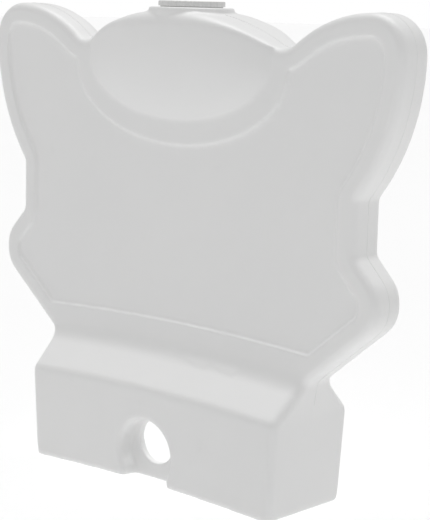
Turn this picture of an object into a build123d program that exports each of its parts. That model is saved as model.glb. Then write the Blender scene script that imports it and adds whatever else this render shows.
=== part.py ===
"""Water filled barrier: a hollow one-piece plastic moulding with a screwed filler cap on its crown
and a screwed drain plug low on its rear face.

Frame: millimetres, +Z up, origin on the ground under the middle of the barrier.
The front faces -Y, the width runs along X.
"""
import os
from math import asin, cos, degrees, radians, sin, sqrt

from build123d import *

# ---- the moulding -----------------------------------------------------------------------------
wall = 5.0
board_depth = 85.0
edge_round = 17.0

# front outline, half widths and heights from the ground up
foot_half_width = 322.0
shoulder_half_width = 332.0
shoulder_height = 190.0
neck_half_width = 343.0
neck_height = 258.0
neck_round = 26.0
cheek_half_width = 498.0
cheek_low = 386.0
cheek_high = 448.0
cheek_round = 66.0
waist_half_width = 443.0
waist_low = 506.0
waist_high = 608.0
waist_round = 18.0
ear_half_width = 534.0
ear_mid_half_width = 499.0
ear_mid_height = 700.0
ear_tip_round = 74.0
ear_top_height = 940.0
valley_x = 264.0
valley_round = 50.0
crown_height = 935.0
crown_radius = 500.0

# end view of the base
shoulder_half_depth = 113.0
foot_draft = 3.0
shoulder_round = 24.0
foot_sink = 2.0
ramp_rise = 64.0
ramp_round = 50.0
arch_rise = 10.0

# sunk panel on the front and the back
panel_depth = 6.0
rim_width = 40.0
panel_foot_height = 325.0
collar_half_width = 279.0
collar_mid_height = 830.0
collar_drop = 154.0

# swelling of the crown that makes room for the filler
swell_half_width = 238.0
swell_drop = 115.0
swell_lift = 62.0
swell_half_depth = 88.0
swell_top_round = 32.0
swell_corner_round = 30.0
swell_angles = (14, 24, 34, 44, 54, 63, 71, 78, 83)

# opening through the base
hole_dia = 136.0
hole_height = 67.0
slot_width = 112.0
slot_corner_round = 20.0
hole_recess = 37.0
web_thickness = 16.0
web_hole_dia = 92.0
web_hole_height = 88.0
mouth_round = 10.0
pocket_width = 430.0
pocket_height = 158.0
pocket_round = 58.0

# ---- filler -----------------------------------------------------------------------------------
boss_margin = 18.0
boss_height = 5.0
boss_root = 30.0
boss_edge_round = 1.5
neck_bore = 100.0
neck_wall = 5.0
neck_length = 36.0
anchor_reach = 7.0
anchor_thickness = 4.0
anchor_cover = 5.5
cap_overhang = 10.0
cap_flange = 10.0
cap_edge_round = 2.0
cap_stem_length = 27.0
cap_stem_wall = 4.0
cap_roof = 4.0
cap_grip_notches = 24
cap_notch_width = 9.0
cap_notch_depth = 1.2
cap_bar_width = 16.0
cap_well_depth = 12.0
seal_thickness = 2.0
seal_margin = 4.0
seal_slack = 1.0
thread_clearance = 0.05

# ---- drain ------------------------------------------------------------------------------------
drain_x = 272.0
drain_height = 54.0
drain_recess_margin = 7.0
drain_recess_depth = 19.0
drain_bore = 38.0
drain_wall = 4.0
drain_length = 28.0
drain_anchor_reach = 5.0
drain_anchor_thickness = 3.0
drain_anchor_cover = 5.0
plug_overhang = 7.0
plug_head = 9.0
plug_edge_round = 1.5
plug_stem_length = 22.0
plug_stem_wall = 4.0
plug_grip_margin = 7.0
plug_grip_width = 9.0
plug_grip_height = 6.0
plug_grip_round = 2.0

# ---- worked out from the sizes above ----------------------------------------------------------
forward = (0, -1, 0)
board_half = board_depth / 2
foot_half_depth = shoulder_half_depth - foot_draft
cap_dia = neck_bore + 2 * (neck_wall + cap_overhang)
boss_dia = cap_dia + 2 * boss_margin
plug_head_dia = drain_bore + 2 * (drain_wall + plug_overhang)
drain_recess_dia = plug_head_dia + 2 * drain_recess_margin
plug_grip_length = plug_head_dia - 2 * plug_grip_margin
boss_top = crown_height + boss_height
cap_seat = boss_top + seal_thickness
sky = ear_top_height + 60.0
arch_radius = (foot_half_width**2 + arch_rise**2) / (2 * arch_rise)
arch_axis_height = arch_rise - arch_radius
valley_height = crown_height - crown_radius + sqrt(crown_radius**2 - valley_x**2)
web_front = hole_recess - shoulder_half_depth
web_rear = web_front + web_thickness
drain_floor = shoulder_half_depth - drain_recess_depth


def arch_at(height, x):
    """Height at x of a line that bows up with the base and lies at height over the feet."""
    return arch_axis_height + sqrt((arch_radius + height) ** 2 - x**2)


def crown_at(x, drop):
    """Height at x of the crown's arc, drawn drop further in."""
    return crown_height - crown_radius + sqrt((crown_radius - drop) ** 2 - x**2)


# ---- body shell -------------------------------------------------------------------------------
def front_outline(inset, start):
    """The barrier seen from the front, drawn inset further in, start ahead of the middle."""
    tip_x = ear_half_width - ear_tip_round
    tip_z = ear_top_height - ear_tip_round
    tip_reach = ear_tip_round * sqrt(0.5)
    with BuildSketch(Plane.XZ.offset(start)) as outline:
        with BuildLine():
            Polyline(
                (0, 0),
                (foot_half_width, 0),
                (shoulder_half_width, shoulder_height),
                (neck_half_width, neck_height),
                (cheek_half_width, cheek_low),
                (cheek_half_width, cheek_high),
                (waist_half_width, waist_low),
                (waist_half_width, waist_high),
            )
            ThreePointArc(
                (waist_half_width, waist_high),
                (ear_mid_half_width, ear_mid_height),
                (ear_half_width, tip_z),
            )
            ThreePointArc(
                (ear_half_width, tip_z),
                (tip_x + tip_reach, tip_z + tip_reach),
                (tip_x, ear_top_height),
            )
            TangentArc((tip_x, ear_top_height), (valley_x, valley_height), tangent=(-1, 0))
            ThreePointArc(
                (valley_x, valley_height),
                (valley_x / 2, crown_at(valley_x / 2, 0)),
                (0, crown_height),
            )
            mirror(about=Plane.YZ)
        make_face()
        for corner_x, corner_z, radius in (
            (shoulder_half_width, shoulder_height, neck_round),
            (neck_half_width, neck_height, neck_round),
            (cheek_half_width, cheek_low, cheek_round),
            (cheek_half_width, cheek_high, cheek_round),
            (waist_half_width, waist_low, waist_round),
            (waist_half_width, waist_high, waist_round),
            (valley_x, valley_height, valley_round),
        ):
            corners = [
                v
                for v in outline.vertices()
                if abs(abs(v.X) - corner_x) < 0.1 and abs(v.Y - corner_z) < 0.1
            ]
            fillet(corners, radius)
        if inset > 0:
            offset(amount=-inset, mode=Mode.REPLACE)
    return outline.sketch


def end_view(inset):
    """The barrier seen from its end: a wide foot, sloping ramps and the upright board.

    It stands on a plane tipped to one side of the arch's axis, ready to be revolved across.
    """
    swing = asin((ear_half_width + sky / 4) / arch_radius)
    plane = Plane(
        origin=(0, 0, arch_axis_height), x_dir=(0, 1, 0), z_dir=(cos(swing), 0, sin(swing))
    )
    ramp_top = shoulder_height + ramp_rise
    with BuildSketch(plane) as view:
        with BuildLine():
            Polyline(
                (0, arch_radius - foot_sink),
                (foot_half_depth, arch_radius - foot_sink),
                (shoulder_half_depth, arch_radius + shoulder_height),
                (board_half, arch_radius + ramp_top),
                (board_half, arch_radius + sky),
                (0, arch_radius + sky),
            )
            mirror(about=Plane.YZ)
        make_face()
        for corner_y, corner_z, radius in (
            (shoulder_half_depth, shoulder_height, shoulder_round),
            (board_half, ramp_top, ramp_round),
        ):
            corners = [
                v
                for v in view.vertices()
                if abs(abs(v.X) - corner_y) < 0.1 and abs(v.Y - arch_radius - corner_z) < 0.1
            ]
            fillet(corners, radius)
        if inset > 0:
            offset(amount=-inset, mode=Mode.REPLACE)
    return view.sketch, 2 * degrees(swing)


def swell_section(angle, inset):
    """One level line of the crown's swelling, at an angle up its round side."""
    depth = swell_half_depth * sin(radians(angle))
    size = cos(radians(angle)) / sqrt(1 - (board_half / swell_half_depth) ** 2)
    half_width = swell_half_width * size - inset
    middle = collar_mid_height + swell_lift * (1 - cos(radians(angle)))
    drop = swell_drop * size - inset
    into_round = max(0.0, depth - swell_half_depth + swell_top_round)
    lowered = swell_top_round - sqrt(swell_top_round**2 - into_round**2) + inset
    top_side = crown_at(half_width, lowered)
    with BuildSketch(Plane.XZ.offset(depth - inset)) as section:
        with BuildLine():
            EllipticalCenterArc((0, middle), half_width, drop, start_angle=180, arc_size=180)
            Line((half_width, middle), (half_width, top_side))
            ThreePointArc(
                (half_width, top_side), (0, crown_at(0, lowered)), (-half_width, top_side)
            )
            Line((-half_width, top_side), (-half_width, middle))
        make_face()
        corners = [v for v in section.vertices() if abs(v.Y - top_side) < 0.1]
        fillet(corners, min(swell_corner_round, 0.5 * half_width, 0.5 * (top_side - middle)))
    return section.sketch


def tank(inset):
    """The moulding as one solid, without its panels and openings, drawn inset further in."""
    view, sweep_angle = end_view(inset)
    with BuildPart() as block:
        outline = front_outline(inset, -shoulder_half_depth - board_half)
        extrude(outline, amount=2 * shoulder_half_depth + board_depth, dir=forward)
        revolve(
            view,
            axis=Axis((0, 0, arch_axis_height), (0, 1, 0)),
            revolution_arc=sweep_angle,
            mode=Mode.INTERSECT,
        )
        sides = [f for f in block.faces() if abs(f.normal_at().Y) < 0.01 and f.center().Z > arch_rise]
        rim = [e for f in sides for e in f.edges() if (e @ 0).Y * (e @ 1).Y > 1]
        fillet(rim, edge_round - inset)
    with BuildPart() as swell:
        for angle in swell_angles:
            add(swell_section(angle, inset))
        loft()
        mirror(about=Plane.XZ)
    with BuildPart() as whole:
        add(block)
        add(swell)
    return whole.part


def panel_recess(grow):
    """What is sunk out of the front and back faces, drawn grow larger and deeper."""
    floor = board_half - panel_depth - grow
    reach = panel_depth + grow + wall
    side = ear_half_width
    foot_side = arch_at(panel_foot_height - arch_rise, side) - grow
    collar_top = collar_mid_height + collar_drop
    with BuildPart() as recess:
        extrude(front_outline(rim_width - grow, floor), amount=reach, dir=forward)
        with BuildSketch(Plane.XZ.offset(floor)):
            with BuildLine():
                ThreePointArc(
                    (-side, foot_side), (0, panel_foot_height - grow), (side, foot_side)
                )
                Polyline((side, foot_side), (side, 0), (-side, 0), (-side, foot_side))
            make_face()
        extrude(amount=reach, mode=Mode.SUBTRACT)
        with BuildSketch(Plane.XZ.offset(floor)):
            with Locations((0, collar_mid_height)):
                Ellipse(collar_half_width - grow, collar_drop - grow)
                Rectangle(
                    2 * (collar_half_width - grow), collar_top, align=(Align.CENTER, Align.MIN)
                )
        extrude(amount=reach, mode=Mode.SUBTRACT)
        mirror(about=Plane.XZ)
    return recess.part


def base_opening(grow):
    """The way through the base: front recess, hole in the web, wide pocket at the back."""
    outside = shoulder_half_depth + wall
    below = wall + arch_rise
    with BuildPart() as opening:
        with BuildSketch(Plane.XZ.offset(-web_front - grow)) as keyhole:
            with Locations((0, hole_height)):
                Circle(hole_dia / 2 + grow)
                Rectangle(
                    slot_width + 2 * grow, hole_height + below, align=(Align.CENTER, Align.MAX)
                )
            fillet(keyhole.vertices().group_by(Axis.Y)[1], slot_corner_round - grow)
        extrude(amount=outside + web_front + grow)
        with BuildSketch(Plane.XZ.offset(-web_rear - wall)):
            with Locations((0, web_hole_height)):
                Circle(web_hole_dia / 2 + grow)
        extrude(amount=web_thickness + 2 * wall)
        with BuildSketch(Plane.XZ.offset(-outside)) as pocket:
            with Locations((0, pocket_height + grow)):
                Rectangle(
                    pocket_width + 2 * grow,
                    pocket_height + grow + below,
                    align=(Align.CENTER, Align.MAX),
                )
            fillet(pocket.vertices().group_by(Axis.Y)[-1], pocket_round + grow)
        extrude(amount=outside - web_rear + grow)
    return opening.part


def mouth_edges(part, grow):
    """The edges where the front recess comes out through the front of the base."""
    reach = hole_dia / 2 + grow + 1
    return [
        e
        for e in part.edges()
        if abs(e.center().X) < reach
        and e.center().Z < hole_height + reach
        and max((e @ 0).Y, (e @ 1).Y) < web_front - hole_recess / 2
    ]


def rear_plane(depth):
    """A plane on the drain's axis, depth behind the middle, seen from behind."""
    return Plane(origin=(drain_x, depth, drain_height), x_dir=(-1, 0, 0), z_dir=(0, 1, 0))


def neck_ring(bore):
    """The filler's threaded insert with its anchor ring, bored to a given diameter."""
    outer = neck_bore / 2 + neck_wall
    anchor_low = boss_top - anchor_cover - anchor_thickness
    with BuildPart() as ring:
        with BuildSketch(Plane.XY.offset(boss_top - neck_length)):
            Circle(outer)
        extrude(amount=neck_length)
        with BuildSketch(Plane.XY.offset(anchor_low)):
            Circle(outer + anchor_reach)
        extrude(amount=anchor_thickness)
        if bore > 0:
            with BuildSketch(Plane.XY.offset(boss_top - neck_length)):
                Circle(bore / 2)
            extrude(amount=neck_length, mode=Mode.SUBTRACT)
    return ring.part


def drain_ring(bore):
    """The drain's threaded insert with its anchor ring, bored to a given diameter."""
    outer = drain_bore / 2 + drain_wall
    anchor_low = drain_floor - drain_anchor_cover - drain_anchor_thickness
    with BuildPart() as ring:
        with BuildSketch(rear_plane(drain_floor - drain_length)):
            Circle(outer)
        extrude(amount=drain_length)
        with BuildSketch(rear_plane(anchor_low)):
            Circle(outer + drain_anchor_reach)
        extrude(amount=drain_anchor_thickness)
        if bore > 0:
            with BuildSketch(rear_plane(drain_floor - drain_length)):
                Circle(bore / 2)
            extrude(amount=drain_length, mode=Mode.SUBTRACT)
    return ring.part


with BuildPart() as cavity:
    add(tank(wall))
    add(panel_recess(wall), mode=Mode.SUBTRACT)
    add(base_opening(wall), mode=Mode.SUBTRACT)
    fillet(mouth_edges(cavity, wall), mouth_round - wall)
    with BuildSketch(rear_plane(drain_floor - wall)):
        Circle(drain_recess_dia / 2 + wall)
    extrude(amount=drain_recess_depth + wall, mode=Mode.SUBTRACT)
    with BuildSketch(rear_plane(drain_floor - drain_length)):
        Circle(drain_bore / 2 + drain_wall + drain_anchor_reach + wall)
    extrude(amount=drain_length + drain_recess_depth, mode=Mode.SUBTRACT)

with BuildPart() as body_shell:
    add(tank(0))
    with BuildSketch(Plane.XY.offset(crown_height - boss_root)):
        Circle(boss_dia / 2)
    extrude(amount=boss_root + boss_height)
    fillet(body_shell.faces().sort_by(Axis.Z)[-1].edges(), boss_edge_round)
    add(panel_recess(0), mode=Mode.SUBTRACT)
    add(base_opening(0), mode=Mode.SUBTRACT)
    fillet(mouth_edges(body_shell, 0), mouth_round)
    with BuildSketch(rear_plane(drain_floor)):
        Circle(drain_recess_dia / 2)
    extrude(amount=drain_recess_depth + wall, mode=Mode.SUBTRACT)
    add(cavity, mode=Mode.SUBTRACT)
    add(neck_ring(0), mode=Mode.SUBTRACT)
    add(drain_ring(0), mode=Mode.SUBTRACT)

# ---- filler neck, cap and seal ----------------------------------------------------------------
with BuildPart() as filler_neck:
    add(neck_ring(neck_bore))

with BuildPart() as filler_cap:
    cap_top = cap_seat + cap_flange
    stem_radius = neck_bore / 2 - thread_clearance
    with BuildSketch(Plane.XY.offset(cap_seat)):
        Circle(cap_dia / 2)
        with PolarLocations((cap_dia + cap_notch_width) / 2 - cap_notch_depth, cap_grip_notches):
            Circle(cap_notch_width / 2, mode=Mode.SUBTRACT)
    extrude(amount=cap_flange)
    fillet(filler_cap.faces().sort_by(Axis.Z)[-1].edges(), cap_edge_round)
    with BuildSketch(Plane.XY.offset(cap_seat - cap_stem_length)):
        Circle(stem_radius)
    extrude(amount=cap_stem_length)
    with BuildSketch(Plane.XY.offset(cap_seat - cap_stem_length)):
        Circle(stem_radius - cap_stem_wall)
    hollow = cap_stem_length + cap_flange - cap_well_depth - cap_roof
    extrude(amount=hollow, mode=Mode.SUBTRACT)
    with BuildSketch(Plane.XY.offset(cap_top)):
        Circle(stem_radius - cap_stem_wall)
        Rectangle(cap_bar_width, cap_dia, mode=Mode.SUBTRACT)
    extrude(amount=-cap_well_depth, mode=Mode.SUBTRACT)

with BuildPart() as filler_cap_seal:
    with BuildSketch(Plane.XY.offset(boss_top)):
        Circle(cap_dia / 2 - seal_margin)
        Circle(neck_bore / 2 + seal_slack, mode=Mode.SUBTRACT)
    extrude(amount=seal_thickness)

# ---- drain insert, plug and seal --------------------------------------------------------------
with BuildPart() as drain_insert:
    add(drain_ring(drain_bore))

with BuildPart() as drain_plug:
    plug_seat = drain_floor + seal_thickness
    plug_radius = drain_bore / 2 - thread_clearance
    with BuildSketch(rear_plane(plug_seat)):
        Circle(plug_head_dia / 2)
    extrude(amount=plug_head)
    fillet(drain_plug.faces().sort_by(Axis.Y)[-1].edges(), plug_edge_round)
    with BuildSketch(rear_plane(plug_seat - plug_stem_length)):
        Circle(plug_radius)
    extrude(amount=plug_stem_length)
    with BuildSketch(rear_plane(plug_seat - plug_stem_length)):
        Circle(plug_radius - plug_stem_wall)
    extrude(amount=plug_stem_length, mode=Mode.SUBTRACT)
    with BuildSketch(rear_plane(plug_seat + plug_head)):
        RectangleRounded(plug_grip_length, plug_grip_width, plug_grip_round)
    extrude(amount=plug_grip_height)

with BuildPart() as drain_seal:
    with BuildSketch(rear_plane(drain_floor)):
        Circle(plug_head_dia / 2 - seal_margin / 2)
        Circle(drain_bore / 2 + seal_slack, mode=Mode.SUBTRACT)
    extrude(amount=seal_thickness)

# ---- labels and files -------------------------------------------------------------------------
pieces = {
    "body_shell": body_shell,
    "filler_neck": filler_neck,
    "filler_cap": filler_cap,
    "filler_cap_seal": filler_cap_seal,
    "drain_insert": drain_insert,
    "drain_plug": drain_plug,
    "drain_seal": drain_seal,
}
os.makedirs("parts", exist_ok=True)
for name, piece in pieces.items():
    piece.part.label = name
    export_step(piece.part, f"parts/{name}.step")
    print(name, round(piece.part.volume / 1000, 1), "cm3")
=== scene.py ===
# %% [markdown]
# # A water filled barrier
# The barrier is one hollow plastic moulding, made by turning a heated mould with powder in it. A
# screwed cap closes the filler on its crown, and a screwed plug closes the drain at its foot. The
# CAD model gives every size here: this script only gives the pieces their finished looks.

from math import cos, radians, sin

import bmesh
import bpy
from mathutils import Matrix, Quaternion, Vector
from mathutils.bvhtree import BVHTree


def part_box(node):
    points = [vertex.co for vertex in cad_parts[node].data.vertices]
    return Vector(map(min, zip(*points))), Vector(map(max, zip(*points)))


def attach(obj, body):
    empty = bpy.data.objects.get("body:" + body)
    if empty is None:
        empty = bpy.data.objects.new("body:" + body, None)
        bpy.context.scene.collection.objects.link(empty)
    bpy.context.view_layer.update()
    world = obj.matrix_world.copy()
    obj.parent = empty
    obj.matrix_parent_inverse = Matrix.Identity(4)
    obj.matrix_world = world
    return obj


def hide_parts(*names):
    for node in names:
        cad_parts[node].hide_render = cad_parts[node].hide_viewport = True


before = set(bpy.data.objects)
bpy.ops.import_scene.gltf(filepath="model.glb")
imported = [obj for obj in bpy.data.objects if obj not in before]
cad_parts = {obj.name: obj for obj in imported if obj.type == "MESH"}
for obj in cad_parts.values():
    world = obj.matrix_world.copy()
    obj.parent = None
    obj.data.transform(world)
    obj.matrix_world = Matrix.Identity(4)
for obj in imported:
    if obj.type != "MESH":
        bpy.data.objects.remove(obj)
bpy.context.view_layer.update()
scene = bpy.context.scene
print("nodes:", sorted(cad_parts))

# %% [markdown]
# ## Camera
# The barrier is looked at from its front right, a little from above, with a long lens. The camera
# is placed by its bearing, its height angle and its distance from a point on the barrier, and is
# then tipped a little about its own line of sight.

# %% Place the camera
bearing = radians(41.911)
height_angle = radians(9.16)
tip = radians(1.467)
distance = 3.1252
aim = Vector((0.0772, 0.0, 0.4539))
away = Vector((sin(bearing) * cos(height_angle), -cos(bearing) * cos(height_angle), sin(height_angle)))

camera = bpy.data.objects.new("camera", bpy.data.cameras.new("camera"))
camera.data.lens = 110.77
camera.data.clip_end = 200.0
camera.location = aim + distance * away
camera.rotation_mode = "QUATERNION"
camera.rotation_quaternion = away.to_track_quat("Z", "Y") @ Quaternion((0, 0, 1), tip)
scene.collection.objects.link(camera)
scene.camera = camera

# %% [markdown]
# ## Nodes from Python sums
# Materials and Geometry Nodes trees are both graphs of nodes. Written out node by node they are
# long and hard to read, so a graph here is grown from Python expressions: a wire stands for one
# output of a node, and sums on wires add the Math nodes that work them out.


# %% Wires and graphs
class Wire:
    """One output of a node. Sums on it add the Math nodes, or Vector Math nodes, that do them."""

    def __init__(self, graph, socket):
        self.graph = graph
        self.socket = socket

    def sum(self, operation, first, second):
        kind = "ShaderNodeVectorMath" if self.socket.type == "VECTOR" else "ShaderNodeMath"
        return self.graph.add(kind, {"operation": operation}, {0: first, 1: second})

    def __add__(self, other):
        return self.sum("ADD", self, other)

    __radd__ = __add__

    def __sub__(self, other):
        return self.sum("SUBTRACT", self, other)

    def __rsub__(self, other):
        return self.sum("SUBTRACT", other, self)

    def __mul__(self, other):
        return self.sum("MULTIPLY", self, other)

    __rmul__ = __mul__

    def __truediv__(self, other):
        return self.sum("DIVIDE", self, other)

    def __gt__(self, other):
        return self.sum("GREATER_THAN", self, other)

    def __lt__(self, other):
        return self.sum("LESS_THAN", self, other)


class Graph:
    """Adds nodes to one tree."""

    def __init__(self, tree):
        self.tree = tree

    def add(self, kind, settings=None, sockets=None, out=0):
        """A node of a kind, with its settings made first and then its sockets set or linked."""
        node = self.tree.nodes.new(kind)
        for name, value in (settings or {}).items():
            setattr(node, name, value)
        for name, value in (sockets or {}).items():
            if isinstance(value, Wire):
                self.tree.links.new(value.socket, node.inputs[name])
            else:
                node.inputs[name].default_value = value
        return Wire(self, node.outputs[out]) if len(node.outputs) else node

    def clamp(self, value):
        return self.add("ShaderNodeClamp", {}, {0: value})

    def mix_colour(self, share, first, second):
        """A colour that goes from first to second as share goes from 0 to 1."""
        settings = {"data_type": "RGBA"}
        return self.add("ShaderNodeMix", settings, {0: share, 6: first, 7: second}, out=2)

    def noise(self, where, scale, detail=2.0, rough=0.5):
        sockets = {"Vector": where, "Scale": scale, "Detail": detail, "Roughness": rough}
        return self.add("ShaderNodeTexNoise", {}, sockets)


# %% [markdown]
# ## Finishes
# Rotomoulded polyethylene is satin white. Its skin has a fine orange peel from the mould, long soft
# ripples where the wall cooled unevenly, and it picks up rubbed patches and small dark specks in
# use. Colour, roughness and bump all come from noise in the piece's own space, so nothing slides
# when a piece moves.


# %% Finish helper
def finish_material(name, build, coat=0.0):
    """A material whose colour, roughness and bump height come from build(graph, where)."""
    material = bpy.data.materials.new(name)
    material.use_nodes = True
    material.node_tree.nodes.clear()
    graph = Graph(material.node_tree)
    where = graph.add("ShaderNodeTexCoord", out=3)
    colour, roughness, height, depth = build(graph, where)
    bump = graph.add("ShaderNodeBump", {}, {"Strength": 1.0, "Distance": depth, "Height": height})
    shader = graph.add(
        "ShaderNodeBsdfPrincipled",
        {},
        {"Base Color": colour, "Roughness": roughness, "Normal": bump, "Coat Weight": coat},
    )
    graph.add("ShaderNodeOutputMaterial", {}, {"Surface": shader})
    return material


def specks(graph, where, cells, size, share):
    """1 on a few small round specks: cells to a metre, size in cells, share of the cells."""
    sockets = {"Vector": where, "Scale": cells, "Randomness": 1.0}
    near = graph.add("ShaderNodeTexVoronoi", {}, sockets, out=0)
    draw = graph.add("ShaderNodeTexVoronoi", {}, sockets, out=1)
    pick = graph.add("ShaderNodeSeparateColor", {}, {0: draw}, out=0)
    return (near < size * (pick + 0.3)) * (pick < share)


# %% White body plastic
def body_plastic(graph, where):
    white = (0.80, 0.80, 0.797, 1.0)
    shade = (0.78, 0.782, 0.781, 1.0)
    rubbed = (0.745, 0.745, 0.74, 1.0)
    dirt = (0.16, 0.15, 0.14, 1.0)
    cloud = graph.noise(where, 3.0, 3.0)
    base = graph.mix_colour(graph.clamp((cloud - 0.42) * 2.2), white, shade)
    rub = graph.clamp((graph.noise(where, 24.0, 6.0, 0.65) - 0.62) * 6.0)
    height_over_ground = graph.add("ShaderNodeSeparateXYZ", {}, {0: where}, out=2)
    foot = graph.clamp((0.05 - height_over_ground) * 12.0)
    worn = graph.mix_colour(graph.clamp(rub * 0.3 + foot * 0.4), base, rubbed)
    colour = graph.mix_colour(specks(graph, where, 13.0, 0.016, 0.22) * 0.75, worn, dirt)
    roughness = 0.38 + 0.08 * cloud + 0.10 * rub
    peel = graph.noise(where, 420.0, 2.0)
    ripple = graph.noise(where, 9.0, 1.0)
    return colour, roughness, peel * 0.14 + ripple * 1.0, 0.0008


# %% Cap, insert and rubber
def cap_plastic(graph, where):
    cloud = graph.noise(where, 30.0, 3.0)
    colour = graph.mix_colour(cloud, (0.66, 0.66, 0.655, 1.0), (0.71, 0.71, 0.705, 1.0))
    scuff = graph.clamp((graph.noise(where, 140.0, 5.0, 0.7) - 0.6) * 6.0)
    rubbed = graph.mix_colour(scuff * 0.4, colour, (0.60, 0.60, 0.60, 1.0))
    return rubbed, 0.34 + 0.12 * cloud + 0.15 * scuff, graph.noise(where, 900.0, 2.0), 0.00010


def insert_plastic(graph, where):
    cloud = graph.noise(where, 40.0, 2.0)
    colour = graph.mix_colour(cloud, (0.58, 0.58, 0.56, 1.0), (0.66, 0.66, 0.64, 1.0))
    return colour, 0.38 + 0.10 * cloud, graph.noise(where, 700.0, 2.0), 0.00012


def seal_rubber(graph, where):
    cloud = graph.noise(where, 60.0, 3.0)
    colour = graph.mix_colour(cloud, (0.40, 0.40, 0.395, 1.0), (0.48, 0.48, 0.475, 1.0))
    return colour, 0.55 + 0.2 * cloud, graph.noise(where, 1200.0, 2.0), 0.00012


def pale_floor(graph, where):
    cloud = graph.noise(where, 0.7, 2.0)
    colour = graph.mix_colour(cloud, (0.90, 0.90, 0.90, 1.0), (0.92, 0.92, 0.92, 1.0))
    return colour, 0.85 + 0.05 * cloud, graph.noise(where, 90.0, 2.0), 0.0001


finishes = {
    "body_plastic": finish_material("white_rotomoulded_plastic", body_plastic),
    "cap_plastic": finish_material("white_cap_plastic", cap_plastic, coat=0.08),
    "insert_plastic": finish_material("natural_insert_plastic", insert_plastic),
    "seal_rubber": finish_material("pale_seal_rubber", seal_rubber),
}
floor_finish = finish_material("pale_floor", pale_floor)
print("finishes:", ", ".join(finishes))

# %% [markdown]
# ## Geometry Nodes helpers
# A tree is given named inputs for its sizes. A modifier keeps its values under each input's
# identifier, which is why they are looked up by name in the tree first. Once evaluated, the result
# is taken as a plain mesh and the modifier goes.


# %% Trees and modifiers
def new_tree(name, inputs):
    """An empty Geometry Nodes tree with a geometry in and out and named inputs of given kinds."""
    tree = bpy.data.node_groups.new(name, "GeometryNodeTree")
    tree.interface.new_socket("Geometry", in_out="OUTPUT", socket_type="NodeSocketGeometry")
    tree.interface.new_socket("Geometry", in_out="INPUT", socket_type="NodeSocketGeometry")
    for label, kind in inputs.items():
        tree.interface.new_socket(label, in_out="INPUT", socket_type=kind)
    graph = Graph(tree)
    source = tree.nodes.new("NodeGroupInput")
    wires = {socket.name: Wire(graph, socket) for socket in source.outputs if socket.name}
    return tree, graph, wires


def close_tree(graph, geometry, material):
    """Ends a tree: instances are made real and the material is set."""
    real = graph.add("GeometryNodeRealizeInstances", {}, {0: geometry})
    dressed = graph.add("GeometryNodeSetMaterial", {}, {"Geometry": real, "Material": material})
    graph.add("NodeGroupOutput", {}, {0: dressed})


def use_tree(piece, tree, values):
    """Puts a tree on a piece, each value under its input's identifier."""
    modifier = piece.modifiers.new(tree.name, "NODES")
    modifier.node_group = tree
    for item in tree.interface.items_tree:
        if item.in_out == "INPUT" and item.name in values:
            modifier[item.identifier] = values[item.name]


def new_piece(name, mesh, slot):
    """A mesh as an object in the scene, in a slot's finish."""
    piece = bpy.data.objects.new(name, mesh)
    scene.collection.objects.link(piece)
    if not mesh.materials:
        mesh.materials.append(finishes[slot])
    return piece


def bake(piece):
    """Takes the evaluated piece as a plain mesh and drops its modifiers."""
    bpy.context.view_layer.update()
    evaluated = piece.evaluated_get(bpy.context.evaluated_depsgraph_get())
    mesh = bpy.data.meshes.new_from_object(evaluated)
    piece.modifiers.clear()
    piece.data = mesh
    triangles = sum(len(face.vertices) - 2 for face in mesh.polygons)
    print(f"{piece.name}: {triangles} triangles")
    return piece


# %% [markdown]
# ## Screw threads
# A thread is one ridge that climbs its pitch in each turn, on a stem, or the matching groove in a
# bore. It could be a swept helix laid on the stem, but that leaves an open seam along both sides.
# Here the stem's own skin is pushed outward where the helix passes, in a Geometry Nodes tree that
# works out each point's turn and its place along the axis. The same numbers with a wider ridge make
# the groove, so the ridge runs in it through every turn.

# %% Thread tree
thread_tree, graph, given = new_tree(
    "screw_thread",
    {
        "Centre": "NodeSocketVector",
        "Axis": "NodeSocketVector",
        "Across": "NodeSocketVector",
        "Radius": "NodeSocketFloat",
        "Pitch": "NodeSocketFloat",
        "Depth": "NodeSocketFloat",
        "Ridge": "NodeSocketFloat",
        "Low": "NodeSocketFloat",
        "High": "NodeSocketFloat",
        "Material": "NodeSocketMaterial",
    },
)


def dot(graph, first, second):
    """The dot product of two vectors, as a number."""
    return graph.add("ShaderNodeVectorMath", {"operation": "DOT_PRODUCT"}, {0: first, 1: second}, out=1)


flank = 0.12  # the share of a pitch over which a ridge rises
wall_reach = 0.0007  # how near the stem's wall a point lies to be moved, in metres
place = graph.add("GeometryNodeInputPosition") - given["Centre"]
side = graph.add(
    "ShaderNodeVectorMath", {"operation": "CROSS_PRODUCT"}, {0: given["Axis"], 1: given["Across"]}
)
along = dot(graph, place, given["Axis"])
reach_u = dot(graph, place, given["Across"])
reach_w = dot(graph, place, side)
turn = graph.add("ShaderNodeMath", {"operation": "ARCTAN2"}, {0: reach_w, 1: reach_u}) / radians(360)
reach_squared = reach_u * reach_u + reach_w * reach_w
radius = graph.add("ShaderNodeMath", {"operation": "SQRT"}, {0: reach_squared})
phase = graph.add("ShaderNodeMath", {"operation": "FRACT"}, {0: along / given["Pitch"] - turn + 0.5})
off_ridge = graph.add("ShaderNodeMath", {"operation": "ABSOLUTE"}, {0: phase - 0.5})
ridge = graph.clamp((given["Ridge"] - off_ridge) / flank + 0.5)
fade_in = graph.clamp((along - given["Low"]) / given["Pitch"])
fade_out = graph.clamp((given["High"] - along) / given["Pitch"])
off_wall = graph.add("ShaderNodeMath", {"operation": "ABSOLUTE"}, {0: radius - given["Radius"]})
lift = ridge * (fade_in * fade_out) * given["Depth"] * (off_wall < wall_reach)
outward = place - graph.add(
    "ShaderNodeVectorMath", {"operation": "SCALE"}, {0: given["Axis"], "Scale": along}
)
straight = graph.add("ShaderNodeVectorMath", {"operation": "NORMALIZE"}, {0: outward})
push = graph.add("ShaderNodeVectorMath", {"operation": "SCALE"}, {0: straight, "Scale": lift})
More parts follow.
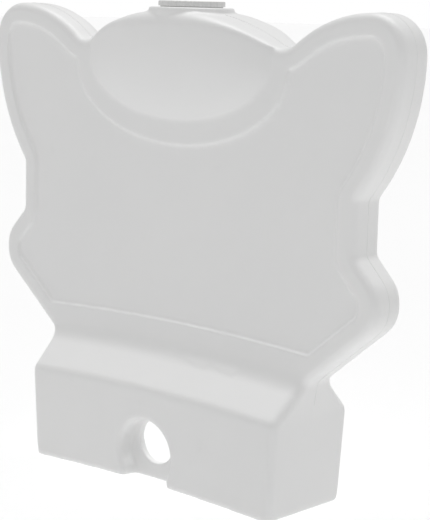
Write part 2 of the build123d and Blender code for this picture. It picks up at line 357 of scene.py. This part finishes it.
moved = graph.add("GeometryNodeSetPosition", {}, {"Geometry": given["Geometry"], "Offset": push})
close_tree(graph, moved, given["Material"])

# %% [markdown]
# ## Skins
# A moulded part has no sharp edge: the plastic rounds every corner that it runs over. Bevels on so
# many crossing edges would tear, so the CAD solid is taken as a volume and given an even skin, and
# the skin is relaxed a few times. That rounds all its corners at once and leaves its flats flat. The
# skin is then thinned, which keeps the small faces where the shape curves.


# %% Skin of a CAD node
soft_steps = 12  # the levels that softness is rounded to
weld = 1e-6


def skin(name, node, slot, cell, relax, triangles, softness=None, soften=0):
    """The shape of a CAD node with an even skin of cell metres, its corners rounded by relax passes.

    Where softness, a function of a point, is above 0, the skin gets up to soften passes more.
    """
    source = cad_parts[node].data.copy()
    source.materials.clear()
    merged = bmesh.new()
    merged.from_mesh(source)
    bmesh.ops.remove_doubles(merged, verts=merged.verts, dist=weld)
    merged.to_mesh(source)
    merged.free()
    piece = new_piece(name, source, slot)
    remesh = piece.modifiers.new("even_skin", "REMESH")
    remesh.mode = "VOXEL"
    remesh.voxel_size = cell
    remesh.use_smooth_shade = True
    smooth = piece.modifiers.new("relax", "SMOOTH")
    smooth.factor = 0.5
    smooth.iterations = relax
    bake(piece)
    if softness:
        group = piece.vertex_groups.new(name="soft")
        steps = {}
        for vertex in piece.data.vertices:
            steps.setdefault(round(softness(vertex.co) * soft_steps), []).append(vertex.index)
        for step, indices in steps.items():
            group.add(indices, step / soft_steps, "REPLACE")
        melt = piece.modifiers.new("soften", "SMOOTH")
        melt.factor = 0.5
        melt.iterations = soften
        melt.vertex_group = group.name
        bake(piece)
        piece.vertex_groups.clear()
    count = sum(len(face.vertices) - 2 for face in piece.data.polygons)
    if count > triangles:
        thin = piece.modifiers.new("thin", "DECIMATE")
        thin.ratio = triangles / count
        bake(piece)
    return piece


def settle(piece, slot, body, *nodes):
    """Shades a piece smooth, gives it its finish and body, and lets it stand for CAD nodes."""
    piece.data.materials.clear()
    piece.data.materials.append(finishes[slot])
    piece.data.polygons.foreach_set("use_smooth", [True] * len(piece.data.polygons))
    piece.data.polygons.foreach_set("material_index", [0] * len(piece.data.polygons))
    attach(piece, body)
    if nodes:
        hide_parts(*nodes)


# %% [markdown]
# ## The moulding
# The barrier's body is hollow right through, so its skin has an outside and an inside. Both are
# wanted, because the inside shows through the filler once the cap is off. The plastic runs together
# most round the foot and under the swelling of the crown. More relax passes all over would blur the
# sunk panel as well, so a function of the place says where the extra passes act.

# %% Softer corners
foot_soft_height = 0.034
foot_full = 1.5  # over 1, so that the foot is fully soft for the lowest third of that height
swelling_reach = (0.262, 0.138)
swelling_centre = 0.935
swelling_top = 0.925
swelling_fade = 6
top_fade = 0.01


def clamped(value):
    """The value, held between 0 and 1."""
    return min(max(value, 0.0), 1.0)


def soft_corner(point):
    """1 where the moulding's corners run together most: round its foot and under the swelling."""
    foot = clamped(foot_full - foot_full * point.z / foot_soft_height)
    reach = (point.x / swelling_reach[0]) ** 2 + ((point.z - swelling_centre) / swelling_reach[1]) ** 2
    swelling = clamped((1 - reach) * swelling_fade) * clamped((swelling_top - point.z) / top_fade)
    return max(foot, swelling)


# %% Body moulding
moulding = skin(
    "moulding",
    "body_shell",
    "body_plastic",
    cell=0.003,
    relax=8,
    triangles=190000,
    softness=soft_corner,
    soften=45,
)
weigh = moulding.modifiers.new("even_shading", "WEIGHTED_NORMAL")
weigh.weight = 80
bake(moulding)
settle(moulding, "body_plastic", "shell", "body_shell")

# %% [markdown]
# ## Parting line
# The two halves of the mould meet at mid-depth, and they leave a low, uneven line of flash all
# round. It runs where the skin crosses the middle plane, so the skin is cut there. The inside, the
# filler's mouth and the foot are left out, and a Geometry Nodes tree sweeps a small round section
# along what is left, thicker and thinner as the trimming knife left it.


# %% Flash tree
flash_tree, graph, given = new_tree(
    "parting_flash",
    {"Thickness": "NodeSocketFloat", "Step": "NodeSocketFloat", "Material": "NodeSocketMaterial"},
)
line = graph.add("GeometryNodeMeshToCurve", {}, {0: given["Geometry"]})
even = graph.add("GeometryNodeResampleCurve", {"mode": "LENGTH"}, {"Curve": line, "Length": given["Step"]})
uneven = graph.noise(graph.add("GeometryNodeInputPosition"), 14.0, 3.0) * 1.5 + 0.25
sized = graph.add("GeometryNodeSetCurveRadius", {}, {"Curve": even, "Radius": uneven * given["Thickness"]})
section = graph.add(
    "GeometryNodeCurvePrimitiveCircle", {"mode": "RADIUS"}, {"Resolution": 8, "Radius": 1.0}
)
sweep = graph.add(
    "GeometryNodeCurveToMesh",
    {},
    {"Curve": sized, "Profile Curve": section, "Scale": uneven * given["Thickness"], "Fill Caps": True},
)
close_tree(graph, sweep, given["Material"])


# %% Sweep the parting line
boss_depth = 0.012
boss_reach = 0.1
foot_top = 0.20
step_off = 0.004
line_weld = 0.0008


def middle_section(piece):
    """The edges where a piece's outer skin crosses the middle plane, away from the filler."""
    cut = bmesh.new()
    cut.from_mesh(piece.data)
    wall = BVHTree.FromBMesh(cut)
    everything = cut.verts[:] + cut.edges[:] + cut.faces[:]
    bmesh.ops.bisect_plane(
        cut, geom=everything, plane_co=(0, 0, 0), plane_no=(0, 1, 0), clear_inner=True, clear_outer=True
    )
    boss_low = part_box("body_shell")[1].z - boss_depth
    hidden = []
    for edge in cut.edges:
        middle = (edge.verts[0].co + edge.verts[1].co) / 2
        normal = wall.find_nearest(middle)[1]
        outside = middle + step_off * normal
        inside_tank = wall.ray_cast(outside, Vector((0, 1, 0)))[0] is not None
        on_boss = abs(middle.x) < boss_reach and middle.z > boss_low
        if inside_tank or on_boss or middle.z < foot_top:
            hidden.append(edge)
    bmesh.ops.delete(cut, geom=hidden, context="EDGES")
    bmesh.ops.remove_doubles(cut, verts=cut.verts, dist=line_weld)
    mesh = bpy.data.meshes.new("middle_section")
    cut.to_mesh(mesh)
    cut.free()
    return mesh


flash = new_piece("parting_line", middle_section(moulding), "body_plastic")
flash_size = {"Thickness": 0.0006, "Step": 0.006}
use_tree(flash, flash_tree, {**flash_size, "Material": finishes["body_plastic"]})
bake(flash)
settle(flash, "body_plastic", "shell")

# %% [markdown]
# ## Filler
# The filler's neck is a threaded insert that is moulded into the crown. The cap screws into it on a
# coarse thread with a right-hand lead, down onto a flat rubber seal.

# %% Filler pieces
upright = {"Centre": (0.0, 0.0, 0.0), "Axis": (0.0, 0.0, 1.0), "Across": (1.0, 0.0, 0.0)}
filler_pitch = 0.006
neck_low, neck_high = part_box("filler_neck")
cap_low, cap_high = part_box("filler_cap")
seal_low, seal_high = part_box("filler_cap_seal")
neck_bore = 0.050

filler_neck = skin("filler_neck_insert", "filler_neck", "insert_plastic", 0.0009, 2, 90000)
groove = {"Radius": neck_bore, "Pitch": filler_pitch, "Depth": 0.0018, "Ridge": 0.25}
ends = {"Low": neck_low.z - filler_pitch, "High": neck_high.z + filler_pitch / 2}
use_tree(filler_neck, thread_tree, {**upright, **groove, **ends, "Material": finishes["insert_plastic"]})
bake(filler_neck)
settle(filler_neck, "insert_plastic", "shell", "filler_neck")

filler_cap = skin("filler_cap_screw", "filler_cap", "cap_plastic", 0.0009, 3, 110000)
ridge = {"Radius": neck_bore, "Pitch": filler_pitch, "Depth": 0.0013, "Ridge": 0.17}
ends = {"Low": cap_low.z + 0.001, "High": seal_low.z - 0.002}
use_tree(filler_cap, thread_tree, {**upright, **ridge, **ends, "Material": finishes["cap_plastic"]})
bake(filler_cap)
settle(filler_cap, "cap_plastic", "cap", "filler_cap")

# %% [markdown]
# ## Drain
# The drain is the same thing made small: an insert at the bottom of a round recess in the back of
# the foot, and a plug with a grip bar that screws into it against its own seal.

# %% Drain pieces
insert_low, insert_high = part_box("drain_insert")
plug_low, plug_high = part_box("drain_plug")
drain_centre = (plug_low + plug_high) / 2
drain_pitch = 0.004
drain_bore = 0.019
sideways = {
    "Centre": (drain_centre.x, 0.0, drain_centre.z),
    "Axis": (0.0, 1.0, 0.0),
    "Across": (0.0, 0.0, 1.0),
}

drain_insert = skin("drain_threaded_insert", "drain_insert", "insert_plastic", 0.0006, 2, 60000)
groove = {"Radius": drain_bore, "Pitch": drain_pitch, "Depth": 0.0013, "Ridge": 0.25}
ends = {"Low": insert_low.y - drain_pitch, "High": insert_high.y + drain_pitch / 2}
use_tree(drain_insert, thread_tree, {**sideways, **groove, **ends, "Material": finishes["insert_plastic"]})
bake(drain_insert)
settle(drain_insert, "insert_plastic", "shell", "drain_insert")

drain_plug = skin("drain_plug_screw", "drain_plug", "cap_plastic", 0.0006, 3, 60000)
ridge = {"Radius": drain_bore, "Pitch": drain_pitch, "Depth": 0.0009, "Ridge": 0.17}
ends = {"Low": plug_low.y + 0.001, "High": insert_high.y - 0.001}
use_tree(drain_plug, thread_tree, {**sideways, **ridge, **ends, "Material": finishes["cap_plastic"]})
bake(drain_plug)
settle(drain_plug, "cap_plastic", "plug", "drain_plug")

# %% [markdown]
# ## Seals
# Each seal is a flat rubber ring, cut square, with its corners just eased.

# %% Seals
filler_seal = skin("filler_rubber_seal", "filler_cap_seal", "seal_rubber", 0.0006, 1, 60000)
settle(filler_seal, "seal_rubber", "cap_seal", "filler_cap_seal")
drain_seal = skin("drain_rubber_seal", "drain_seal", "seal_rubber", 0.0005, 1, 40000)
settle(drain_seal, "seal_rubber", "plug_seal", "drain_seal")

# %% [markdown]
# ## Studio
# A wide pale floor and a soft sky, brightest along the horizon, light the barrier from everywhere,
# and a broad sun high behind the barrier lifts the faces that look up. It throws no shadow, so the
# floor stays plain.

# %% Floor and light
floor_mesh = bpy.data.meshes.new("floor")
half = 60.0
corners = [(-half, -half, 0), (half, -half, 0), (half, half, 0), (-half, half, 0)]
floor_mesh.from_pydata(corners, [], [(0, 1, 2, 3)])
floor_mesh.materials.append(floor_finish)
floor = bpy.data.objects.new("floor", floor_mesh)
scene.collection.objects.link(floor)

world = bpy.data.worlds.new("studio")
world.use_nodes = True
world.node_tree.nodes.clear()
graph = Graph(world.node_tree)
direction = graph.add("ShaderNodeTexCoord", out=0)
above_horizon = graph.add("ShaderNodeSeparateXYZ", {}, {0: direction}, out=2)
overhead = (0.46, 0.46, 0.46, 1.0)
horizon = (1.0, 1.0, 1.0, 1.0)
band_top = 0.03
band_fade = 8.0
sky_share = graph.clamp((above_horizon - band_top) * band_fade)
sky_colour = graph.mix_colour(sky_share, horizon, overhead)
sky = graph.add("ShaderNodeBackground", {}, {"Color": sky_colour})
graph.add("ShaderNodeOutputWorld", {}, {"Surface": sky})
scene.world = world


def sun(name, strength, spread, direction):
    """A soft distant light that shines along a direction and throws no shadow."""
    lamp = bpy.data.lights.new(name, "SUN")
    lamp.use_shadow = False
    lamp.energy = strength
    lamp.angle = radians(spread)
    holder = bpy.data.objects.new(name, lamp)
    holder.rotation_euler = Vector(direction).to_track_quat("-Z", "Y").to_euler()
    scene.collection.objects.link(holder)


sun("ceiling", strength=2.0, spread=50, direction=(0.16, -0.25, -1.0))
scene.view_settings.view_transform = "Standard"
